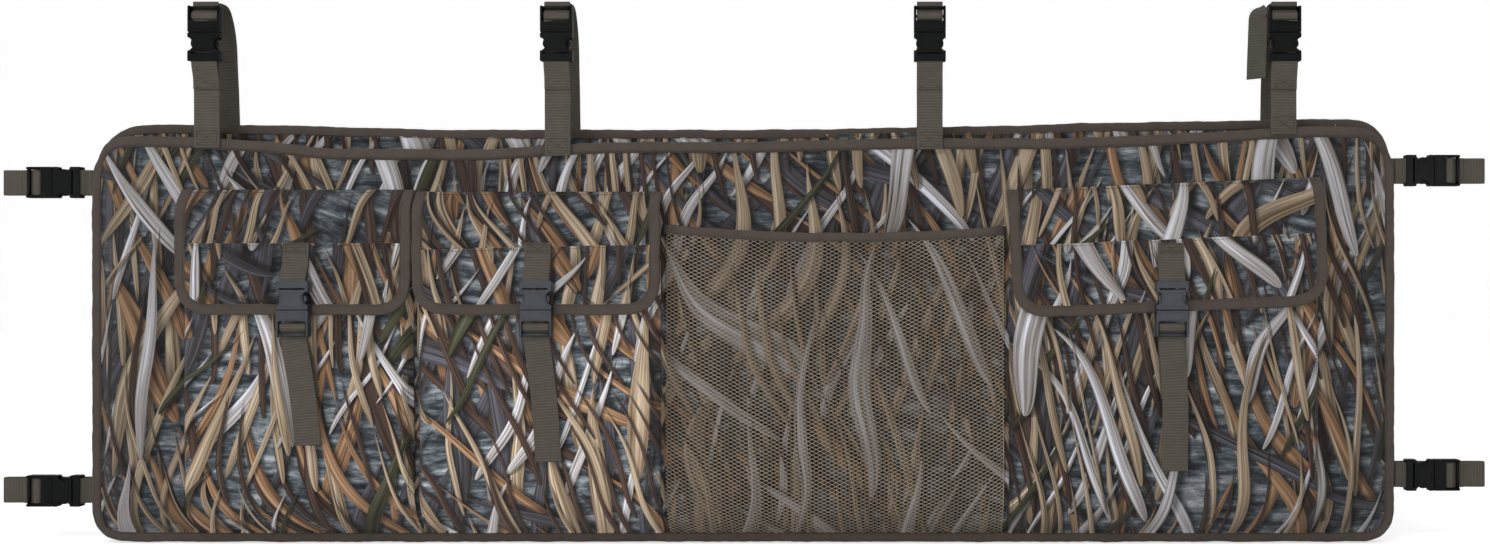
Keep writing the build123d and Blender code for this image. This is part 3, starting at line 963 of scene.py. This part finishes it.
def net_depth(x, height):
    """The net hangs in long soft folds that run down to the right, with upright ones at its left."""
    left, right = NET
    sides = rise(x - left, 22, 2.0) * rise(right - x, 22, 2.0)
    low = rise(height - BINDING, 50, 1.6)
    slant = x * 0.5 + (NET_HEIGHT - height) * -0.62 + 16 * ripple(x, height, 240, 91)
    folds = 1.7 * np.sin(slant / 10.5) + 0.9 * np.sin(slant / 5.2 + 1.3)
    share = smooth(x, left + 40, left + 190)
    upright_folds = 1.6 * np.sin(x / 7.5 + 0.004 * height)
    fade = smooth(height, 20, 90) * smooth(NET_HEIGHT - height, 4, 40)
    moved = (folds * share + upright_folds * (1 - share)) * fade
    return face(x, height) + 1.0 + (NET_DEEP - 1.0 + moved) * sides * low


def make_net():
    """Knitted net: upright zigzag yarns that meet their neighbours at every other turn."""
    left, right = NET[0] + 1.5, NET[1] - 1.5
    points, faces = [], []
    for column in range(int((right - left) / NET_PITCH) + 1):
        middle = left + (column + 0.5) * NET_PITCH
        top = net_top(min(middle, right)) - 3
        turns = np.arange(int((top - BINDING + 2) / (NET_PITCH / 2)) + 1)
        levels = top - turns * NET_PITCH / 2
        swing = np.where(turns % 2 == column % 2, 0.5, -0.5) * NET_PITCH * 0.98
        xs = np.clip(middle + swing + 1.1 * ripple(middle, levels, 160, 92), left, right)
        spots = np.stack([xs, net_depth(xs, levels), levels], axis=1)
        base, size = len(points), len(turns)
        for angle in NET_STRANDS:
            points.extend((spots + NET_YARN * np.array([math.cos(angle), math.sin(angle), 0])).tolist())
        for row in range(size - 1):
            for strand in range(3):
                a = base + strand * size + row
                b = base + (strand + 1) % 3 * size + row
                faces.append((a, b, b + 1, a + 1))
    return put(mesh_object("net", points, faces, NET_MATERIAL), "root", "mesh", "mesh_pocket")


def make_net_binding():
    xs = np.linspace(NET[0] + 0.5, NET[1] - 0.5, 150)
    heights = net_top(xs) - 4.5
    depth = net_depth(xs, heights - 6) + 0.2
    line = np.stack([xs, heights], axis=1)
    piece = bound_edge("net_tape", line, depth - 1.3, depth + 1.3, 36, 9.0)
    put(piece, "root", "binding_tape", "mesh_pocket_binding")
    rows = [seam_row(line, -2.6, lambda x, h: np.interp(x, xs, depth) + 1.45)]
    thread_piece("net_stitches", rows, "root")


net = make_net()
make_net_binding()


# ---------------------------------------------------------------- buckle frames

# A buckle's own frame has z from the socket's bar towards the plug's end bar, and y away from
# the viewer.

TOP_X = (-524.0, -179.0, 187.0, 535.0)
TOP_BAR = 480.5
TOP_DEPTH = 52.8
TOP_LOOP = 536.0
TOP_TAB_LOW = (393.5, 385.5, 392.0, 407.0)
SIDE_PLACES = {
    "upper_left": (-1, 361.0),
    "lower_left": (-1, 51.0),
    "upper_right": (1, 373.0),
    "lower_right": (1, 67.0),
}
SIDE_START = 14.5
SIDE_DEPTH = 15.0
SIDE_REACH = 79.0
POCKET_BAR = 259.5
STRAP_DEPTH = 73.4
TAIL_END = {"left": 103.0, "middle": 87.0, "right": 78.0}
TAIL_LEAN = {"left": 7.0, "middle": 5.5, "right": 2.0}
PLUG_END = 51.5
LEAN_START = 56.0
ANCHOR_LOW = 112.0
BUCKLE_HALF = 15.7
THREADED = [(1.0, 56.0), (1.0, 47.0), (-2.7, 44.0), (-2.7, 38.2), (3.2, 38.2)]
THREAD_RADII = [3.0, 1.2, 2.8, 2.8]


def bar_place(x, depth, height, along_x, along_height):
    """Where a buckle's bar is and which ways its x and z point, from the way that its z points."""
    return np.array([(x, depth, height), (along_height, 0, -along_x), (along_x, 0, along_height)], float)


def settle(where, points):
    """Points of a buckle's frame as (x, depth, height) of the case."""
    points = np.asarray(points, float)
    origin, across, along = where
    back = points[..., 1:2] * np.array([0, 1.0, 0])
    return origin + points[..., :1] * across + points[..., 2:] * along - back


# ---------------------------------------------------------------- webbing


def web_profile():
    half, up = WEBBING / 2, WEB / 2
    top = [(share * half, up) for share in (0.93, 0.62, 0.31, 0.0, -0.31, -0.62, -0.93)]
    edge = [(-0.985 * half, up * 0.6), (-half, 0.0), (-0.985 * half, -up * 0.6)]
    turn = np.array(top + edge)
    return np.concatenate([turn, -turn])


def webbing(name, where, route, radii, body, *nodes, lean=0.0):
    """A strap along a (y, z) route of a buckle's frame, whose free end may lean to one side."""
    flat = rounded_path(route, radii, RIB / 4)
    free = np.clip(flat[:, 1] - LEAN_START, 0, None)
    drift = -free * math.tan(math.radians(lean)) - 1.6 * np.sin(free / 34.0) * bool(lean)
    local = np.stack([drift, flat[:, 0], flat[:, 1]], axis=1)
    return strap(name, settle(where, local), where[1], body, *nodes)


def strap(name, path, side, body, *nodes):
    """Webbing along a path, with ribs woven across it."""
    runs = arc_lengths(path)
    rib = np.cos(2 * math.pi * runs / RIB)
    profile = web_profile()
    profiles = np.repeat(profile[None], len(path), axis=0)
    profiles[..., 1] *= (1.0 + 0.24 * rib)[:, None]
    profiles[..., 0] *= (1.0 + 0.006 * rib + 0.004 * np.sin(runs / 7.0))[:, None]
    points, faces = sweep(path, side, profiles)
    piece = mesh_object(name, points, faces, WEB_MATERIAL, tape_places(runs, profile[:, 0]))
    return put(piece, body, "webbing", *nodes)


def tab_route(start, base, fold):
    """Sewn down at its start, folded over the socket's bar and sewn to its own front."""
    lower = [(base, start)]
    radii = []
    if base > 3.0:
        lower += [(base, -17.0), (3.0, -9.0)]
        radii += [4.0, 4.0]
    inner = base - WEB - 0.2
    upper = [(3.0, 3.3), (-3.0, 3.3), (-3.0, -0.2 * fold), (inner, -0.65 * fold), (inner, -fold)]
    return lower + upper, radii + [2.9, 2.9, 0.2 * fold, 0.2 * fold]


def box_stitch(name, where, low, high, depth, body):
    """A sewn box with a cross in it, on the front of a tab."""
    half = WEBBING / 2 - 3.0
    corners = [(-half, low), (half, low), (half, high), (-half, high)]
    rows = []
    for start, end in ((0, 1), (1, 2), (2, 3), (3, 0), (0, 2), (1, 3)):
        line = [(corners[index][0], depth, corners[index][1]) for index in (start, end)]
        rows.append(stitches(settle(where, line), pitch=2.9, length=2.3, lift=0.1))
    return thread_piece(name, rows, body)


# ---------------------------------------------------------------- buckles


def closed_loop(points, radii, step=0.6):
    """A closed (x, z) outline with rounded corners."""
    start = (np.asarray(points[-1], float) + np.asarray(points[0], float)) / 2
    return rounded_path([start, *points, start], radii, step)[:-1]


def mirrored(right_side):
    """A closed outline from its right half, which runs up from the bottom."""
    return right_side + [(-x, z) for x, z in reversed(right_side)]


def plate(outline, near, far, bevel=0.5, holes=()):
    """An outline in x and z, thick between two y values, with rounded edges."""
    curve = bpy.data.curves.new("plate", "CURVE")
    curve.dimensions = "2D"
    curve.fill_mode = "BOTH"
    for loop in (outline, *holes):
        spline = curve.splines.new("POLY")
        spline.points.add(len(loop) - 1)
        for point, (x, z) in zip(spline.points, loop):
            point.co = (x, z, 0, 1)
        spline.use_cyclic_u = True
    curve.extrude = (far - near) / 2 - bevel
    curve.bevel_depth = bevel
    curve.bevel_resolution = 2
    curve.offset = -bevel
    helper = new_object("plate", curve)
    bpy.context.view_layer.update()
    mesh = bpy.data.meshes.new_from_object(helper)
    middle = (near + far) / 2
    points = [(vertex.co.x, middle + vertex.co.z, vertex.co.y) for vertex in mesh.vertices]
    faces = [tuple(polygon.vertices) for polygon in mesh.polygons]
    bpy.data.objects.remove(helper)
    bpy.data.curves.remove(curve)
    bpy.data.meshes.remove(mesh)
    return points, faces


def oblong(x_low, x_high, z_low, z_high, radius):
    return closed_loop([(x_low, z_low), (x_high, z_low), (x_high, z_high), (x_low, z_high)], radius)


def rod(y, z, radius, half=13.4):
    """A smooth bar across the buckle."""
    path = np.array([(x, y, z) for x in np.linspace(-half, half, 5)])
    ring = [(radius * math.cos(a), radius * math.sin(a)) for a in np.linspace(0, 2 * math.pi, 17)[:-1]]
    return sweep(path, (0.0, 1.0, 0.0), ring)


def socket_parts():
    """The female half: two waisted plates over a hollow, two rails and a bar for the webbing."""
    half = BUCKLE_HALF
    waist = [(half, -3.0), (half, 6.0), (10.3, 10.0), (10.3, 17.0), (half, 21.0), (half, 25.0)]
    outline = closed_loop(mirrored(waist), [1.6, 3.2, 4.6, 4.6, 3.2, 1.2] * 2)
    slit = oblong(-12.4, 12.4, 4.3, 5.5, 0.5)
    inner = [(12.6, 8.6), (12.2, 8.8), (8.4, 11.5), (8.4, 15.5), (12.4, 20.6), (12.6, 22.2)]
    pad = closed_loop(mirrored(inner), [0.5, 1.0, 3.4, 3.4, 1.4, 0.6] * 2)
    parts = [
        plate(outline, -5.0, -3.75, 0.45, [slit]),
        plate(outline, 3.75, 5.0, 0.45, [slit]),
        plate(pad, -5.4, -4.7, 0.3),
        plate(oblong(-13.5, 13.5, 6.0, 8.6, 0.6), -4.6, 4.6, 0.3),
        rod(0.0, 0.0, 2.0),
    ]
    for side in (-1, 1):
        rail = sorted((side * 13.2, side * half))
        parts.append(plate(oblong(*rail, -2.9, 7.6, 0.9), -4.9, 4.9, 0.6))
        parts.append(plate(oblong(*rail, 20.2, 24.9, 0.7), -4.9, 4.9, 0.6))
    return parts


def prong_part(side):
    """A springy arm with a catch that shows in the socket's waist."""
    arm = [(7.7, 25.4), (8.6, 17.0), (8.7, 11.0), (10.6, 9.2)]
    catch = [(13.2, 12.2), (13.7, 15.2), (12.6, 18.4), (11.6, 25.4)]
    radii = [1.2, 1.5, 1.2, 1.8, 1.0, 1.6, 1.2, 1.2]
    return plate(closed_loop([(side * x, z) for x, z in arm + catch], radii, 0.4), -2.7, 2.7, 0.6)


def plug_parts(with_prongs):
    """The male half: tongue, shoulders, two rails, and two bars for the webbing."""
    half = BUCKLE_HALF
    frame_shape = [
        (-half, 25.3), (half, 25.3), (half, PLUG_END), (13.2, PLUG_END), (13.2, 36.5), (-13.2, 36.5),
        (-13.2, PLUG_END), (-half, PLUG_END),
    ]
    outline = closed_loop(frame_shape, [1.2, 1.2, 2.2, 0.8, 1.4, 1.4, 0.8, 2.2])
    step = closed_loop([(-13.4, 27.6), (13.4, 27.6), (12.2, 34.8), (-12.2, 34.8)], 1.2)
    parts = [
        plate(outline, -5.0, 5.0, 0.9),
        plate(step, -5.4, -4.6, 0.35),
        plate(oblong(-2.8, 2.8, 11.0, 26.0, 0.8), -2.3, 2.3, 0.5),
        rod(0.2, 41.5, 1.6),
        rod(-2.6, 49.3, 1.8),
    ]
    if with_prongs:
        parts += [prong_part(-1), prong_part(1)]
    return parts


def moulded(name, parts, where, body, node, material=SHADE_PAINTED_PLASTIC):
    points, faces = merged(parts)
    put(mesh_object(name, settle(where, points), faces, material), body, "buckle", node)


# ---------------------------------------------------------------- straps


def sew(piece):
    """Bakes a strap's transform into its mesh."""
    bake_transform(piece)


def top_straps():
    for number, (x, low) in enumerate(zip(TOP_X, TOP_TAB_LOW), start=1):
        where = bar_place(x, TOP_DEPTH, TOP_BAR, 0, 1)
        body = f"top_plug_{number}"
        base = low - TOP_BAR
        webbing(f"top_tab_{number}", where, *tab_route(base, 3.0, 30.0), "root", "top_tabs")
        box_stitch(f"top_tab_stitches_{number}", where, base + 2.5, base + 17.0, 2.1, "root")
        box_stitch(f"top_fold_stitches_{number}", where, -28.5, -17.0, 0.55, "root")
        moulded(f"top_socket_{number}", socket_parts(), where, "root", "top_sockets")
        moulded(f"top_buckle_plug_{number}", plug_parts(True), where, body, f"top_plug_{number}")
        top = TOP_LOOP - TOP_BAR - WEB / 2
        rim = height_on(BACK_LINE, x) - TOP_BAR
        back = TOP_DEPTH - 5.0
        arch = [(3.2, 50.0), (4.4, top), (25.0, top), (40.0, top - 24.0), (back, rim + 12.0), (back, rim)]
        radii = THREAD_RADII + [20.0, 4.0, 10.0, 24.0, 30.0]
        loop = webbing(f"top_webbing_{number}", where, THREADED + arch, radii, None, f"top_loop_{number}")
        sew(loop)


def top_tail():
    """The spare end of the last top strap, turned edge on as it hangs beside its buckle."""
    route = [(521.0, 40.0, 532.0), (513.0, 38.0, 527.0), (512.5, 35.0, 500.0), (511.5, 34.0, 463.0)]
    strap("top_tail_4", rounded_path(route, 5.0, RIB / 4), (0.55, 0.83, 0.0), "top_plug_4")


def side_straps():
    start = -SIDE_START - 4.0
    back = SIDE_DEPTH - 4.0
    route = THREADED + [(3.2, SIDE_REACH), (back, SIDE_REACH), (back, start)]
    for name, (side, height) in SIDE_PLACES.items():
        where = bar_place(side * (HALF + SIDE_START), SIDE_DEPTH, height, side, 0)
        body = f"side_plug_{name}"
        webbing(f"side_tab_{name}", where, *tab_route(start, 3.0, 12.5), "root", "side_tabs")
        moulded(f"side_socket_{name}", socket_parts(), where, "root", "side_sockets")
        moulded(f"side_buckle_plug_{name}", plug_parts(True), where, body, f"side_plug_{name}")
        radii = THREAD_RADII + [3.6, 3.6]
        loop = webbing(f"side_webbing_{name}", where, route, radii, None, f"side_loop_{name}")
        sew(loop)


def pocket_straps():
    for name in POCKETS:
        where = bar_place(STRAP_X[name], STRAP_DEPTH, POCKET_BAR, 0, -1)
        lean = TAIL_LEAN[name]
        flap_body, plug_body = f"flap_{name}", f"pocket_plug_{name}"
        flap_route = tab_route(-40.0, 5.7, 30.0)
        webbing(f"flap_webbing_{name}", where, *flap_route, flap_body, f"flap_strap_{name}")
        box_stitch(f"flap_strap_stitches_{name}", where, -39.0, -29.0, 4.7, flap_body)
        for part, parts in (
            ("socket", socket_parts()), ("plug", plug_parts(False)),
            ("prong_1", [prong_part(1)]), ("prong_2", [prong_part(-1)]),
        ):
            node = f"pocket_{part}_{name}"
            body = flap_body if part == "socket" else node
            moulded(f"pocket_buckle_{part}_{name}", parts, where, body, node, SHEEN_PAINTED_PLASTIC)
        end = POCKET_BAR - TAIL_END[name]
        route = [(4.9, end - 12.0), (4.9, end), (3.2, end), (2.4, end - 40), (1.0, 70.0)]
        route += THREADED + [(3.2, 50.0)]
        radii = [0.8, 0.8, 20.0, 20.0, 3.0] + THREAD_RADII
        node = f"pocket_tail_{name}"
        webbing(f"pocket_tail_webbing_{name}", where, route, radii, plug_body, node, lean=lean)
        back = STRAP_DEPTH - FACE_DEPTH - 15.8
        route = [(3.2, 47.0), (4.0, 56.0), (back, 72.0), (back, ANCHOR_LOW)]
        node = "pocket_strap_anchors"
        anchor = webbing(f"pocket_anchor_{name}", where, route, [6.0, 12.0], None, node, lean=lean)
        sew(anchor)


top_straps()
top_tail()
side_straps()
pocket_straps()


# ---------------------------------------------------------------- camera, light and floor

CAMERA = (170.0, 1525.0, 271.0)
LENS = 36.24
LENS_SHIFT = -0.1124
LIGHTS = [
    # name, place, target, size and power
    ("key", (-0.7, -2.0, 1.8), (0, 0, 0), (1.6, 1.2), 22),
    ("strip", (0.1, -2.3, 0.02), (0.1, 0, 0.02), (4.2, 0.56), 20),
]
STUDIO_PROFILE = ((0.0, 0.0), (7.0, 0.0), (8.0, 0.15), (8.7, 0.6), (9.0, 1.4), (9.0, 7.0))
STUDIO_SIDES = 64


def make_camera():
    lens = bpy.data.cameras.new("camera")
    camera = new_object("camera", lens)
    camera.location = place(CAMERA)
    camera.rotation_euler = (math.pi / 2, 0, 0)
    lens.sensor_width = 36.0
    lens.lens = LENS
    lens.shift_x = LENS_SHIFT
    lens.clip_end = 50.0
    bpy.context.scene.camera = camera


def area_light(name, spot, target, size, power):
    lamp = bpy.data.lights.new(name, "AREA")
    lamp.shape = "RECTANGLE"
    lamp.size, lamp.size_y = size
    lamp.energy = power
    light = new_object(name, lamp)
    light.location = spot
    light.rotation_euler = (Vector(target) - Vector(spot)).to_track_quat("-Z", "Y").to_euler()


def studio_white(t):
    seen = t.add("ShaderNodeLightPath").outputs["Is Camera Ray"]
    glow = t.times(seen, 0.6)
    skin(t, (0.93, 0.93, 0.93, 1), 0.9, 0.1, Emission_Color=(1, 1, 1, 1), Emission_Strength=glow)


def make_stage():
    """A white floor that curves up into a wall all round, a white world and two lights."""
    points = []
    for reach, height in STUDIO_PROFILE:
        for angle in np.linspace(0, 2 * math.pi, STUDIO_SIDES, endpoint=False):
            points.append((reach * math.cos(angle), reach * math.sin(angle), height))
    mesh = bpy.data.meshes.new("studio")
    mesh.from_pydata(points, [], grid_faces(len(STUDIO_PROFILE), STUDIO_SIDES, wrap=True))
    mesh.shade_smooth()
    mesh.materials.append(new_material("studio_white", studio_white))
    floor = new_object("studio", mesh)
    floor.location = (0, 0, FLOOR * MM - 0.001)
    world = bpy.data.worlds.new("studio")
    world.use_nodes = True
    background = world.node_tree.nodes["Background"].inputs
    background[0].default_value = (1, 1, 1, 1)
    background[1].default_value = 0.45
    bpy.context.scene.world = world
    for light in LIGHTS:
        area_light(*light)
    bpy.context.scene.view_settings.view_transform = "Standard"


make_camera()
make_stage()
